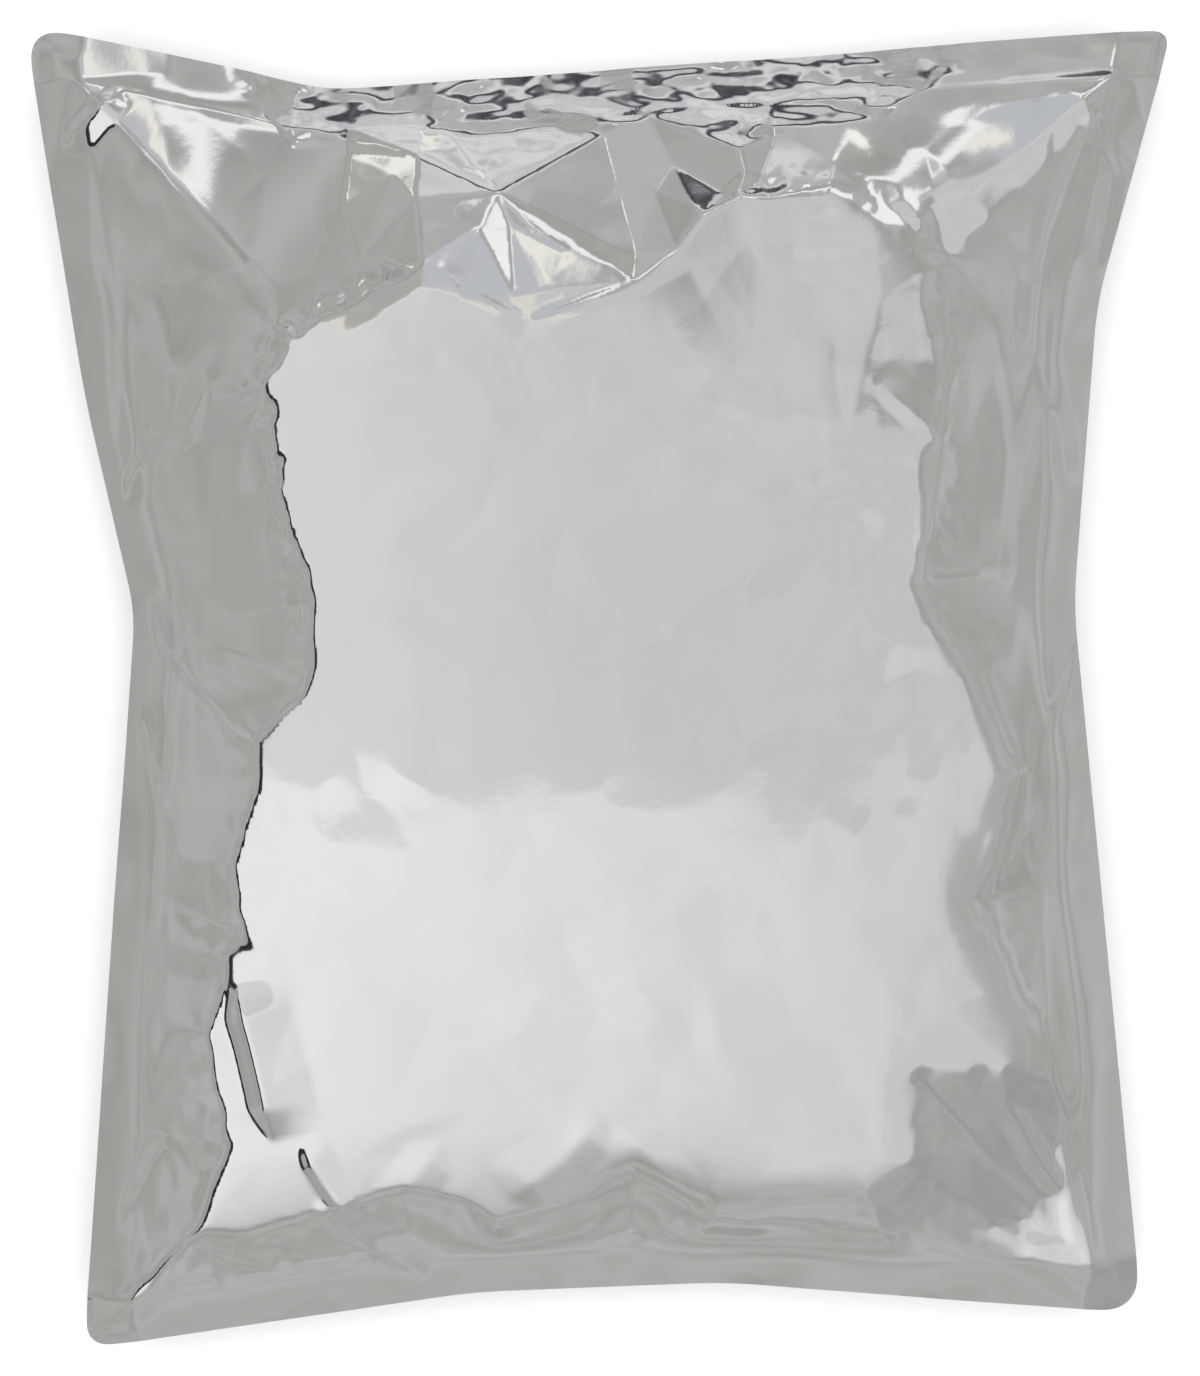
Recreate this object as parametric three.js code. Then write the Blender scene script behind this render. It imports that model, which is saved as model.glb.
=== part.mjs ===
// A filled pouch of silver metallised film, lying on its back. Millimetres, +Z up, top seal towards +Y.
// Two films are sealed together all round. The front film is a flat-topped dome that breaks off along a
// ragged ridge to flanks, which run down to the seals. At the top it is pressed into a fold of flat
// facets. The back film is a shallow tray, flat where it rests.
import * as THREE from "three";

// Driving dimensions.
const SEAL_HEIGHT = 19; // middle of the seal above the surface that the pouch lies on
const SEAL_THICKNESS = 1;
const SEAL_WIDTH = 6.8;
const SEAL_DROOP = { left: 0.42, right: 0.42, bottom: 0.56 }; // how far it falls outwards, mm for each mm
const SEAL_WAVE = { height: 1.2, length: 40 }; // swings of the whole seal up and down
const TOP_SEAL_DROOP = [ // x and how far the top seal falls outwards there, mm for each mm
  [-83, 0.4], [-62, 0.35], [-50, 0.5], [-44, 0.85], [-36, 0.72], [-30, 0.86], [-24, 0.75], [-16, 0.84],
  [-8, 0.98], [0, 0.98], [5, 0.8], [14, 0.76], [22, 0.84], [30, 0.9], [38, 0.82], [46, 0.6], [60, 0.6],
  [75, 0.55], [84, 0.5],
];
const CROWN = 22; // top of the front film above the seal
const CREST = new THREE.Vector2(-14, 4); // where that top is
const DOME_DROP = { // how far the front film falls from its crest, and over what distance
  left: { drop: 2.4, over: 31 },
  right: { drop: 6.5, over: 65 },
  top: { drop: 3.5, over: 55 },
  bottom: { drop: 12, over: 80 },
};
const DOME_ROUNDNESS = 1.5; // 1 lets the falls add up in the corners, more makes the dome squarer
const SHOULDER = { drop: 4.5, across: [-16, 24], up: [25, 72] }; // loose, lower film at the upper right
const BACK_SLOPE = 1.1; // rise of the back film from the floor out to the seal, mm for each mm
const CRUMPLE_DEPTH = 1.3; // how far the crumpled film at the top seal sinks

const COLUMNS = 64; // cells of the front film across
const ROWS = 68; // and along
const BACK_SHARE = 2; // front cells to a cell of the back film, each way
const TOP_CROWDING = 0.25; // rows lie closer together near the top seal, where the folds are
const END_CROWDING = 0.2; // and a little closer at both ends than in the middle

// The outline, anticlockwise from the lower left corner: each corner with the length its rounding takes
// from both edges. A filled pouch draws in at the waist and leaves its corners standing out as ears.
const OUTLINE = [
  { name: "lower left ear", at: [-74.4, -95.6], rounding: 4 },
  { name: "bottom edge, left", at: [-18, -87.4], rounding: 5 },
  { name: "bottom edge, right", at: [18.7, -86], rounding: 5 },
  { name: "lower right ear", at: [78.5, -90.6], rounding: 6 },
  { name: "right waist", at: [68.5, 11.8], rounding: 5 },
  { name: "right shoulder", at: [71.9, 55.6], rounding: 5 },
  { name: "upper right ear", at: [83, 95.4], rounding: 3 },
  { name: "dip in the top edge", at: [-38.9, 86.8], rounding: 4 },
  { name: "upper left ear", at: [-82.9, 95.7], rounding: 6 },
  { name: "left shoulder", at: [-74.4, 42.3], rounding: 6 },
  { name: "left waist", at: [-67.1, 10.9], rounding: 4 },
].map((corner) => ({ ...corner, at: new THREE.Vector2(...corner.at) }));

const vectors = (pairs) => pairs.map(([x, y]) => new THREE.Vector2(x, y));

// Where the dome breaks off to the flanks, anticlockwise from the lower left.
const RIDGE = vectors([
  [-58.3, -78], [-50, -77.8], [-43, -76.5], [-36, -74], [-28, -71], [-20, -73], [-14.5, -76.5], [-4, -73.5],
  [5, -68.7], [10, -72], [16, -76], [28, -76], [40, -76.5], [47.5, -69.5], [47, -63], [46.5, -56.5],
  [52, -57.5], [58, -59], [63.5, -56], [62.5, -47], [55, -30], [60, -12], [54, 2], [46, 15], [48.3, 24],
  [50, 46], [49, 60], [45, 67], [38, 69.5], [33, 71.5], [19.3, 69.6], [14.8, 67.5], [10.8, 62.3],
  [5, 57.8], [-10, 51.8], [-25, 60], [-33, 54.5], [-44, 50], [-47.5, 42], [-45.5, 36], [-44.5, 28],
  [-40.8, 12], [-40, 3], [-41.5, -1], [-48.5, -7], [-48.8, -14], [-52, -25], [-49.8, -36], [-56, -50],
  [-52.6, -64],
]);
RIDGE.push(RIDGE[0]);
const RIDGE_ROUNDNESS = [[-30, 0.12], [20, 0.15], [45, 1.6], [70, 2.4]]; // x and how round the ridge is there
const FOOT_ROUNDNESS = [[-5, 0.3], [12, 4], [36, 4], [48, 0.4]]; // x and how much rounder it is along the bottom
const FOOT = [-76, -62]; // y up to which it is there in full, and where it has gone
const SEAL_ROUNDNESS = 1.2; // the same for the crease at the seal's inner edge

// The fold at the top: x, y and height above the seal of each corner of its facets. A corner with no
// height lies on the film below.
const FLAP_CORNERS = {
  "west low": [-34, 61], "west high": [-36, 77], "fan left": [-25, 60], "fan foot": [-10, 51.8],
  "flap foot": [5, 57.8], "right brow": [10.8, 62.3], "right step": [14.8, 67.5], "right end": [19.3, 69.6],
  "right side": [23, 73], "flap left": [-14.5, 70.4, 13.5], "flap top": [0.5, 79.7, 2.4],
  "valley": [5.2, 61, 14.6], "gleam corner": [-29, 73.2, 9.5], "edge low": [-26, 69.5, 14],
  "edge high": [-25.6, 75.8, 9.6], "knot": [6.3, 74, 6.2], "below knot": [8, 70.5, 8.6],
  "wedge foot": [11.5, 69.2, 10.6], "wedge top": [10.5, 75, 4.8], "second top": [7, 82, 0.2],
  "second right": [20, 77, 6.6], "second side": [20.8, 73.5, 8.7], "second foot": [17.5, 70.5, 9.3],
  "shelf left": [-21, 79.3, 1.6], "shelf right": [-10, 80, 1.2], "blade head": [-17, 65, 15.8],
  "blade tip": [-12, 55.5, 18.6], "blade side": [-12.8, 66, 14.4],
  "seal 0": [-36, 80.6], "seal 1": [-26, 80.9], "seal 2": [-14, 81.8], "seal 3": [0.3, 82.8],
  "seal 4": [7, 83.2], "seal 5": [14, 83.7], "seal 6": [23, 84.2],
};
const FLAP_FACETS = [
  "west low, fan left, edge low", "west low, edge low, gleam corner", "west low, gleam corner, west high",
  "west high, gleam corner, edge high", "gleam corner, edge low, edge high", "west high, edge high, seal 0",
  "seal 0, edge high, seal 1", "edge low, fan left, blade head", "edge low, blade head, flap left",
  "fan left, blade tip, blade head", "fan left, fan foot, blade tip", "blade head, blade tip, blade side",
  "blade head, blade side, flap left", "edge low, flap left, edge high", "blade tip, fan foot, flap foot",
  "blade side, blade tip, flap foot", "blade side, flap foot, flap left", "flap foot, valley, flap left",
  "flap left, valley, flap top", "flap foot, right brow, valley", "valley, knot, flap top",
  "valley, below knot, knot", "valley, right brow, below knot", "right brow, wedge foot, below knot",
  "right brow, right step, wedge foot", "knot, wedge top, second top", "knot, second top, flap top",
  "below knot, wedge top, knot", "below knot, wedge foot, wedge top", "wedge foot, second foot, wedge top",
  "wedge foot, right step, second foot", "right step, right end, second foot",
  "right end, second side, second foot", "wedge top, second foot, second side",
  "wedge top, second side, second right", "wedge top, second right, second top",
  "edge high, flap left, shelf left", "right end, right side, second side",
  "second side, right side, second right", "second right, right side, seal 6",
  "flap left, shelf right, shelf left", "flap left, flap top, shelf right", "edge high, shelf left, seal 1",
  "shelf left, seal 2, seal 1", "shelf left, shelf right, seal 2", "shelf right, seal 3, seal 2",
  "shelf right, flap top, seal 3", "flap top, second top, seal 3", "second top, seal 4, seal 3",
  "second top, seal 5, seal 4", "second top, second right, seal 5", "second right, seal 6, seal 5",
];

// Single creases that stand out from the film: rise, reach to the left and right of the path, path.
const FOLDS = [
  { name: "upper left corner ridge", rise: 3.6, left: 11, right: 11, path: [[-76, 87], [-63, 73], [-50, 60]] },
  { name: "upper right corner ridge", rise: 5, left: 12, right: 12, path: [[50, 62], [63, 74], [77, 88]] },
  { name: "left streak, middle", rise: 0.6, left: 1.2, right: 4, path: [[-50, -9], [-55, -2], [-62, 5], [-65, 13]] },
  { name: "left sliver", rise: 1.3, left: 1.9, right: 8, path: [[-46.5, -64], [-47.5, -58], [-49.5, -50], [-51.5, -41]] },
  { name: "lower left arch", rise: 0.5, left: 4.5, right: 1.8, path: [[-57, -70], [-62, -65.5], [-65, -69], [-69, -79]] },
  { name: "lower left hip", rise: 0.6, left: 2.5, right: 3.5, path: [[-71, -92.5], [-64, -85], [-57, -77]] },
  { name: "bottom crease, left", rise: 0.6, left: 1.5, right: 4, path: [[-35, -76], [-39, -71], [-42.5, -65]] },
  { name: "bottom peak", rise: 0.35, left: 4, right: 6, path: [[1, -60.5], [-5, -67], [-13, -73]] },
  { name: "lower right sliver", rise: 0.8, left: 3, right: 1.3, path: [[67, -73], [62, -65], [59, -59]] },
  { name: "right waist", rise: 0.6, left: 4, right: 1.5, path: [[55.5, -30], [60, -19], [64, -5], [69, 8]] },
  { name: "right dart", rise: 0.8, left: 1.5, right: 4, path: [[49, 34.5], [43, 40], [39, 43]] },
  { name: "upper left dimple", rise: 0.9, left: 3, right: 2, path: [[-69, 86], [-73, 82], [-77, 78]] },
].map((fold) => ({ ...fold, path: vectors(fold.path) }));

// The lower border of the crumpled film.
const CRUMPLED_ABOVE = [
  [-50, 85], [-44, 77], [-36, 76], [-29, 73], [-26, 70], [-16, 71], [0.5, 80], [8, 82], [20, 77], [28, 80],
  [40, 81.5], [50, 88],
];

// One side of the outline as a path between the middles of its two rounded corners.
function sidePath(first, last) {
  const corner = (i) => OUTLINE[(i + OUTLINE.length) % OUTLINE.length];
  const along = (from, to, length) =>
    corner(to).at.clone().sub(corner(from).at).setLength(length).add(corner(from).at);
  const half = (a, b) => a.clone().add(b).multiplyScalar(0.5);
  const path = new THREE.Path();
  for (let i = first; i <= last; i++) {
    const { at, rounding } = corner(i);
    const before = along(i, i - 1, rounding);
    const after = along(i, i + 1, rounding);
    const middle = half(half(before, at), half(at, after));
    if (i === first) path.moveTo(middle.x, middle.y);
    else path.lineTo(before.x, before.y);
    const bend = i === first ? half(at, after) : i === last ? half(at, before) : at;
    const end = i === last ? middle : after;
    path.quadraticCurveTo(bend.x, bend.y, end.x, end.y);
  }
  return path;
}

const sides = {
  bottom: sidePath(0, 3),
  right: sidePath(3, 6),
  top: sidePath(6, 8),
  left: sidePath(8, 11),
};
const BOTTOM_TO_TOP = { left: true, top: true }; // these two run against the grid's direction
const pointOn = (name, share) => sides[name].getPointAt(BOTTOM_TO_TOP[name] ? 1 - share : share);

// A point of the pouch's plan from its share across and its share along, blended from the four sides.
function planPoint(across, along) {
  const point = new THREE.Vector2();
  const add = (p, weight) => point.addScaledVector(p, weight);
  add(pointOn("bottom", across), 1 - along);
  add(pointOn("top", across), along);
  add(pointOn("left", along), 1 - across);
  add(pointOn("right", along), across);
  add(pointOn("bottom", 0), -(1 - across) * (1 - along));
  add(pointOn("bottom", 1), -across * (1 - along));
  add(pointOn("top", 0), -(1 - across) * along);
  add(pointOn("top", 1), -across * along);
  return point;
}

function distanceToSegment(p, a, b) {
  const edge = b.clone().sub(a);
  const share = THREE.MathUtils.clamp(p.clone().sub(a).dot(edge) / edge.lengthSq(), 0, 1);
  return p.distanceTo(edge.multiplyScalar(share).add(a));
}

const distanceToPath = (p, points) =>
  Math.min(...points.slice(1).map((b, i) => distanceToSegment(p, points[i], b)));

function inside(p, loop) {
  let crossed = false;
  loop.slice(1).forEach((b, i) => {
    const a = loop[i];
    if (a.y > p.y !== b.y > p.y && p.x < a.x + ((b.x - a.x) * (p.y - a.y)) / (b.y - a.y)) crossed = !crossed;
  });
  return crossed;
}

const { clamp, smoothstep } = THREE.MathUtils;

// The value at x of a line through the given x and value pairs.
function between(pairs, x) {
  const next = pairs.findIndex(([at]) => at > x);
  if (next === 0) return pairs[0][1];
  if (next < 0) return pairs.at(-1)[1];
  const [[x0, v0], [x1, v1]] = [pairs[next - 1], pairs[next]];
  return v0 + ((v1 - v0) * (x - x0)) / (x1 - x0);
}

// A fixed random height from -1 to 1 for each point of a lattice.
function lattice(column, row, seed) {
  const sum = Math.imul(column, 374761393) + Math.imul(row, 668265263) + Math.imul(seed, 974634777);
  const mixed = Math.imul((sum >>> 0) ^ (sum >>> 13), 1274126177);
  return ((mixed ^ (mixed >>> 16)) >>> 0) / 2 ** 31 - 1;
}

// Smooth bumps, about one to a unit.
function ripples(x, y, seed) {
  const [column, row] = [Math.floor(x), Math.floor(y)];
  const sx = THREE.MathUtils.smootherstep(x - column, 0, 1);
  const sy = THREE.MathUtils.smootherstep(y - row, 0, 1);
  const low = lattice(column, row, seed) * (1 - sx) + lattice(column + 1, row, seed) * sx;
  const high = lattice(column, row + 1, seed) * (1 - sx) + lattice(column + 1, row + 1, seed) * sx;
  return low * (1 - sy) + high * sy;
}

// Flat three-cornered facets that meet at sharp creases, about one corner to a unit.
function facets(x, y, seed) {
  x += 0.45 * ripples(0.83 * x, 0.83 * y, seed + 11);
  y += 0.45 * ripples(0.83 * x + 5.2, 0.83 * y, seed + 12);
  const [u, v] = [x - y / Math.sqrt(3), (2 * y) / Math.sqrt(3)];
  const [column, row] = [Math.floor(u), Math.floor(v)];
  const [su, sv] = [u - column, v - row];
  const right = lattice(column + 1, row, seed);
  const above = lattice(column, row + 1, seed);
  const here = lattice(column, row, seed);
  const across = lattice(column + 1, row + 1, seed);
  return su + sv < 1
    ? here + (right - here) * su + (above - here) * sv
    : across + (above - across) * (1 - su) + (right - across) * (1 - sv);
}

// The lower of two heights, rounded over where they meet.
const softLower = (first, second, roundness) =>
  (first + second - Math.hypot(first - second, roundness)) / 2;

const SIDE_POINTS = 40;
const sidePoints = Object.fromEntries(
  Object.entries(sides).map(([name, path]) => [name, path.getSpacedPoints(SIDE_POINTS)]),
);
const sideDistances = (p) =>
  Object.fromEntries(Object.entries(sidePoints).map(([name, points]) => [name, distanceToPath(p, points)]));

// How far the crumpled film at the top seal has sunk below the plain one.
function crumpleSag(p) {
  const above = p.y - between(CRUMPLED_ABOVE, p.x);
  const share = smoothstep(above, 0, 1.5) * smoothstep(p.x, -54, -48) * (1 - smoothstep(p.x, 48, 56));
  return { share, sag: (CRUMPLE_DEPTH * clamp(above, 0, 6)) / 6 };
}

// Small creases that run mostly along the seal.
function crumple(p) {
  const { share } = crumpleSag(p);
  const small = 0.4 * facets(p.x / 8, p.y / 2.6, 81) + 0.2 * facets(p.x / 3.6, p.y / 1.6, 82);
  return (0.5 + small + 0.15 * ripples(p.x / 6, p.y / 2.6, 83)) * share;
}

// Height of the middle of the seal: it falls outwards on each side and waves a little.
function sealHeight(p, near) {
  const droop = { ...SEAL_DROOP, top: between(TOP_SEAL_DROOP, p.x) };
  let fall = 0;
  for (const [side, distance] of Object.entries(near)) fall += droop[side] * Math.max(SEAL_WIDTH - distance, 0);
  const wave = SEAL_WAVE.height * ripples(p.x / SEAL_WAVE.length, p.y / SEAL_WAVE.length, 3);
  const { share, sag } = crumpleSag(p);
  return SEAL_HEIGHT + wave - fall * (1 + 0.12 * ripples(p.x / 13, p.y / 13, 4)) - sag * share;
}

function dome(p) {
  const reach = { left: CREST.x - p.x, right: p.x - CREST.x, top: p.y - CREST.y, bottom: CREST.y - p.y };
  let drop = 0;
  for (const [side, { drop: most, over }] of Object.entries(DOME_DROP)) {
    drop += (most * (Math.max(reach[side], 0) / over) ** 2) ** DOME_ROUNDNESS;
  }
  const shoulder = SHOULDER.drop * smoothstep(p.x, ...SHOULDER.across) * smoothstep(p.y, ...SHOULDER.up);
  return CROWN - shoulder - drop ** (1 / DOME_ROUNDNESS);
}

// Upright creases on the right, where the film is looser.
function centreCreases(p) {
  const loose = smoothstep(p.x, 12, 32) * smoothstep(p.y, -45, -10);
  return loose * (0.3 * ripples(p.x / 7, p.y / 19, 25) + 0.2 * facets(p.x / 5, p.y / 15, 26));
}

// Long creases beside the seal that die out up the flank, and a ragged edge at the ridge.
function flankCreases(p, run, outward) {
  const streaks = 0.5 * facets(p.x / 8, p.y / 26, 31) * smoothstep(run, 0, 2) * (1 - 0.8 * smoothstep(run, 5, 13));
  return streaks + 0.45 * facets(p.x / 6, p.y / 6, 61) * (1 - smoothstep(outward, 0, 5));
}

// Height of the filled part above the seal: a dome that breaks off to straight flanks along the ridge.
function bodyHeight(p, near) {
  const run = -softLower(SEAL_WIDTH - Math.min(...Object.values(near)), 0, SEAL_ROUNDNESS);
  const outward = distanceToPath(p, RIDGE) * (inside(p, RIDGE) ? -1 : 1);
  const top = dome(p);
  const flank = (top * run) / Math.max(run + outward, 0.5) + flankCreases(p, run, outward);
  const foot = between(FOOT_ROUNDNESS, p.x) * (1 - smoothstep(p.y, ...FOOT));
  const roundness = (between(RIDGE_ROUNDNESS, p.x) + foot) * smoothstep(run, 0, 6);
  return softLower(top + centreCreases(p), flank, roundness);
}

const flapCorners = Object.fromEntries(
  Object.entries(FLAP_CORNERS).map(([name, [x, y, height]]) => {
    const p = new THREE.Vector2(x, y);
    return [name, new THREE.Vector3(x, y, height ?? bodyHeight(p, sideDistances(p)))];
  }),
);
const flapFacets = FLAP_FACETS.map((facet) => facet.split(", ").map((name) => flapCorners[name]));

// The height of the facet of the fold over a point, if there is one.
function flapHeight(p) {
  for (const [a, b, c] of flapFacets) {
    const area = (b.x - a.x) * (c.y - a.y) - (c.x - a.x) * (b.y - a.y);
    const toB = ((p.x - a.x) * (c.y - a.y) - (c.x - a.x) * (p.y - a.y)) / area;
    const toC = ((b.x - a.x) * (p.y - a.y) - (p.x - a.x) * (b.y - a.y)) / area;
    if (toB >= 0 && toC >= 0 && toB + toC <= 1) return a.z + (b.z - a.z) * toB + (c.z - a.z) * toC;
  }
  return undefined;
}

// A crease with a straight slope to either side, dying out at both ends.
function foldHeight(p, { rise, left, right, path }) {
  let [nearest, place, side, done] = [Infinity, 0, 0, 0];
  path.slice(1).forEach((b, i) => {
    const along = b.clone().sub(path[i]);
    const from = p.clone().sub(path[i]);
    const length = along.length();
    const forward = clamp(from.dot(along) / length, 0, length);
    const away = from.distanceTo(along.clone().setLength(forward));
    if (away < nearest) [nearest, place, side] = [away, done + forward, along.cross(from)];
    done += length;
  });
  const share = place / done;
  return rise * clamp(1 - nearest / (side > 0 ? left : right), 0, 1) * clamp(6 * share * (1 - share), 0, 1);
}

function frontHeight(p) {
  const near = sideDistances(p);
  const film = flapHeight(p) ?? bodyHeight(p, near);
  const folds = FOLDS.reduce((sum, fold) => sum + foldHeight(p, fold), 0);
  return sealHeight(p, near) + SEAL_THICKNESS / 2 + Math.max(film + folds, 0) + crumple(p);
}

function backHeight(p) {
  const near = sideDistances(p);
  const run = Math.max(Math.min(...Object.values(near)) - SEAL_WIDTH, 0);
  return Math.max(sealHeight(p, near) - SEAL_THICKNESS / 2 - BACK_SLOPE * run, 0);
}

const crowdedRow = (share) => {
  const turn = Math.PI * share;
  return share + (TOP_CROWDING * Math.sin(turn)) / Math.PI - (END_CROWDING * Math.sin(2 * turn)) / (2 * Math.PI);
};

// One film over a grid of cells. Each cell is split along the diagonal that lies closer to the film.
function filmGrid(columns, rows, height) {
  const plan = (column, row) => planPoint(column / columns, crowdedRow(row / rows));
  const number = (column, row) => row * (columns + 1) + column;
  const points = [];
  const faces = [];
  for (let row = 0; row <= rows; row++) {
    for (let column = 0; column <= columns; column++) {
      const p = plan(column, row);
      points.push(new THREE.Vector3(p.x, p.y, height(p)));
    }
  }
  for (let row = 0; row < rows; row++) {
    for (let column = 0; column < columns; column++) {
      const [a, b] = [number(column, row), number(column + 1, row)];
      const [c, d] = [number(column + 1, row + 1), number(column, row + 1)];
      const middle = height(plan(column + 0.5, row + 0.5));
      const miss = (one, other) => Math.abs((points[one].z + points[other].z) / 2 - middle);
      faces.push(...(miss(a, c) < miss(b, d) ? [[a, b, c], [a, c, d]] : [[a, b, d], [b, c, d]]));
    }
  }
  const rim = [];
  for (let column = 0; column < columns; column++) rim.push(number(column, 0));
  for (let row = 0; row < rows; row++) rim.push(number(columns, row));
  for (let column = columns; column > 0; column--) rim.push(number(column, rows));
  for (let row = rows; row > 0; row--) rim.push(number(0, row));
  return { points, faces, rim };
}

function pouchGeometry() {
  const front = filmGrid(COLUMNS, ROWS, frontHeight);
  const back = filmGrid(COLUMNS / BACK_SHARE, ROWS / BACK_SHARE, backHeight);
  const first = front.points.length;
  const faces = [...front.faces, ...back.faces.map(([a, b, c]) => [first + a, first + c, first + b])];
  // The cut edge of the sealed films, one strip all round.
  back.rim.forEach((number, place) => {
    const here = first + number;
    const after = first + back.rim[(place + 1) % back.rim.length];
    for (let step = 0; step < BACK_SHARE; step++) {
      const start = BACK_SHARE * place + step;
      faces.push([front.rim[(start + 1) % front.rim.length], front.rim[start], here]);
    }
    faces.push([front.rim[(BACK_SHARE * (place + 1)) % front.rim.length], here, after]);
  });
  const closed = new THREE.BufferGeometry().setFromPoints([...front.points, ...back.points]);
  closed.setIndex(faces.flat());
  closed.computeBoundingBox();
  const middle = closed.boundingBox.getCenter(new THREE.Vector3());
  closed.translate(-middle.x, -middle.y, -closed.boundingBox.min.z);
  closed.computeVertexNormals();
  return closed;
}

const foil = new THREE.MeshStandardMaterial({ color: 0xc9c9c7, metalness: 1, roughness: 0.14 });
const pouch = new THREE.Mesh(pouchGeometry(), foil);
pouch.name = "pouch";

const model = new THREE.Group();
model.add(pouch);
export default model;
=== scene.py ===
"""A filled pouch of silver film, sealed all round, lying on its back on a pale floor.

Sizes are millimetres until a mesh is made. X runs across the pouch, Y along it towards the top seal
and Z up from the floor. The origin is under the middle of the pouch.
"""

import math
from functools import reduce
from operator import mul

import bpy
import numpy as np
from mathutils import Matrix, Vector
from mathutils.geometry import delaunay_2d_cdt


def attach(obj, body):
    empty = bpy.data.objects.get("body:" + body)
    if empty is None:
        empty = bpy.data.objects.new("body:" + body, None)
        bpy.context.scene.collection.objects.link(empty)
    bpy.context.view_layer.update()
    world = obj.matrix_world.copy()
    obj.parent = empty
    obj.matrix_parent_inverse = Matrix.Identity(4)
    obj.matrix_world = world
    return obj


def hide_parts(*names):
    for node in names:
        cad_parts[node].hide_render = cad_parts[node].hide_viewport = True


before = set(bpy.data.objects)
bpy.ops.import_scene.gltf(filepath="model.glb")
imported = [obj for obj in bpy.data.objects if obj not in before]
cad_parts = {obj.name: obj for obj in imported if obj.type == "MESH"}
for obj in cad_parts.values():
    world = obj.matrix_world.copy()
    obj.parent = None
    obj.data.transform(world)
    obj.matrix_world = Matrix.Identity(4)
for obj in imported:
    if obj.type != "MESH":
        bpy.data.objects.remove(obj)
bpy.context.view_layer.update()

MM = 0.001

# Sizes of the outline and the seal -----------------------------------------------------------------------

OUTLINE = {  # x, y and rounding of each corner, anticlockwise from the lower left
    "lower left ear": (-74.4, -95.6, 4),
    "bottom edge, left": (-18, -87.4, 5),
    "bottom edge, right": (18.7, -86, 5),
    "lower right ear": (78.5, -90.6, 6),
    "right waist": (68.5, 11.8, 5),
    "right shoulder": (71.9, 55.6, 5),
    "upper right ear": (83, 95.4, 3),
    "dip in the top edge": (-38.9, 86.8, 4),
    "upper left ear": (-82.9, 95.7, 6),
    "left shoulder": (-74.4, 42.3, 6),
    "left waist": (-67.1, 10.9, 4),
}
CORNER_STEPS = 8  # straight pieces in each rounding
SIDES = {  # the corners at both ends of each side
    "bottom": ("lower left ear", "lower right ear"),
    "right": ("lower right ear", "upper right ear"),
    "top": ("upper right ear", "upper left ear"),
    "left": ("upper left ear", "lower left ear"),
}

FILM_THICKNESS = 0.3
SEAL_HEIGHT = 19.0  # middle of the seal above the floor
SEAL_WIDTH = 6.8
SEAL_SOFTNESS = 1.2  # how much the film rounds off the crease at the seal's inner edge
SEAL_DROOP = {"left": 0.42, "right": 0.42, "bottom": 0.56}  # how far the seal falls outwards, mm for each mm
TOP_SEAL_DROOP = [  # x and how far the top seal falls outwards there, mm for each mm
    (-83, 0.4), (-62, 0.35), (-50, 0.5), (-44, 0.85), (-36, 0.72), (-30, 0.86), (-24, 0.75), (-16, 0.84),
    (-8, 0.98), (0, 0.98), (5, 0.8), (14, 0.76), (22, 0.84), (30, 0.9), (38, 0.82), (46, 0.6), (60, 0.6),
    (75, 0.55), (84, 0.5),
]

# Sizes of the filled part --------------------------------------------------------------------------------

CROWN = 22.0  # top of the front film above the seal
CREST = (-14.0, 4.0)  # x and y of that top
DOME_DROP = {  # how far the front film falls from its crest, and over what distance
    "left": (2.4, 31), "right": (6.5, 65), "top": (3.5, 55), "bottom": (12.0, 80),
}
DOME_ROUNDNESS = 1.5  # 1 lets the falls add up in the corners, more makes the dome squarer
SHOULDER_DROP = 4.5  # how much lower the loose film at the upper right lies
SHOULDER_ACROSS = (-16, 24)  # x where that fall starts, and where it is full
SHOULDER_UP = (25, 72)  # y where it starts, and where it is full
CORNER_CROWN = 10.0  # the dome is at least this high in the upper corners
CORNERS_FROM = (26, 48)  # y where that least height starts to grow, and where it is full

RIDGE = [  # where the dome breaks off to the flanks, anticlockwise from the lower left
    (-58.3, -78), (-50, -77.8), (-43, -76.5), (-36, -74), (-28, -71), (-20, -73), (-14.5, -76.5),
    (-4, -73.5), (5, -68.7), (10, -72), (16, -76), (28, -76), (40, -76.5), (47.5, -69.5), (47, -63),
    (46.5, -56.5), (52, -57.5), (58, -59), (63.5, -56), (62.5, -47), (55, -30), (60, -12), (54, 2),
    (46, 15), (48.3, 24), (50, 46), (49, 60), (45, 67), (38, 69.5), (33, 71.5), (19.3, 69.6), (14.8, 67.5),
    (10.8, 62.3), (5, 57.8), (-10, 51.8), (-25, 60), (-33, 54.5), (-44, 50), (-47.5, 42), (-45.5, 36),
    (-44.5, 28), (-40.8, 12), (-40, 3), (-41.5, -1), (-48.5, -7), (-48.8, -14), (-52, -25), (-50.3, -35),
    (-53.6, -38), (-53.8, -42), (-56, -49), (-55, -55), (-52.8, -65),
]
RIDGE_SOFTNESS = [  # x and how much the film rounds the ridge off there
    (-30, 0.12), (20, 0.15), (45, 1.6), (60, 3.5),
]
SOFTNESS_START = (0, 6)  # mm inside the seal over which that rounding grows
FOOT_SOFTNESS = [  # x and how much more rounding there is along the bottom
    (-5, 0.3), (12, 4.0), (36, 4.0), (48, 0.4),
]
FOOT = (-76, -62)  # y up to which it is there in full, and where it has gone
DENT = (-51.5, -39.3)  # x and y of a dent in the ridge, at the lower left
DENT_REACH = (3.0, 5.0)  # mm from its middle up to which it is full, and where it has gone
DENT_SOFTNESS = 1.1  # how much more the ridge is rounded off in it
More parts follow.
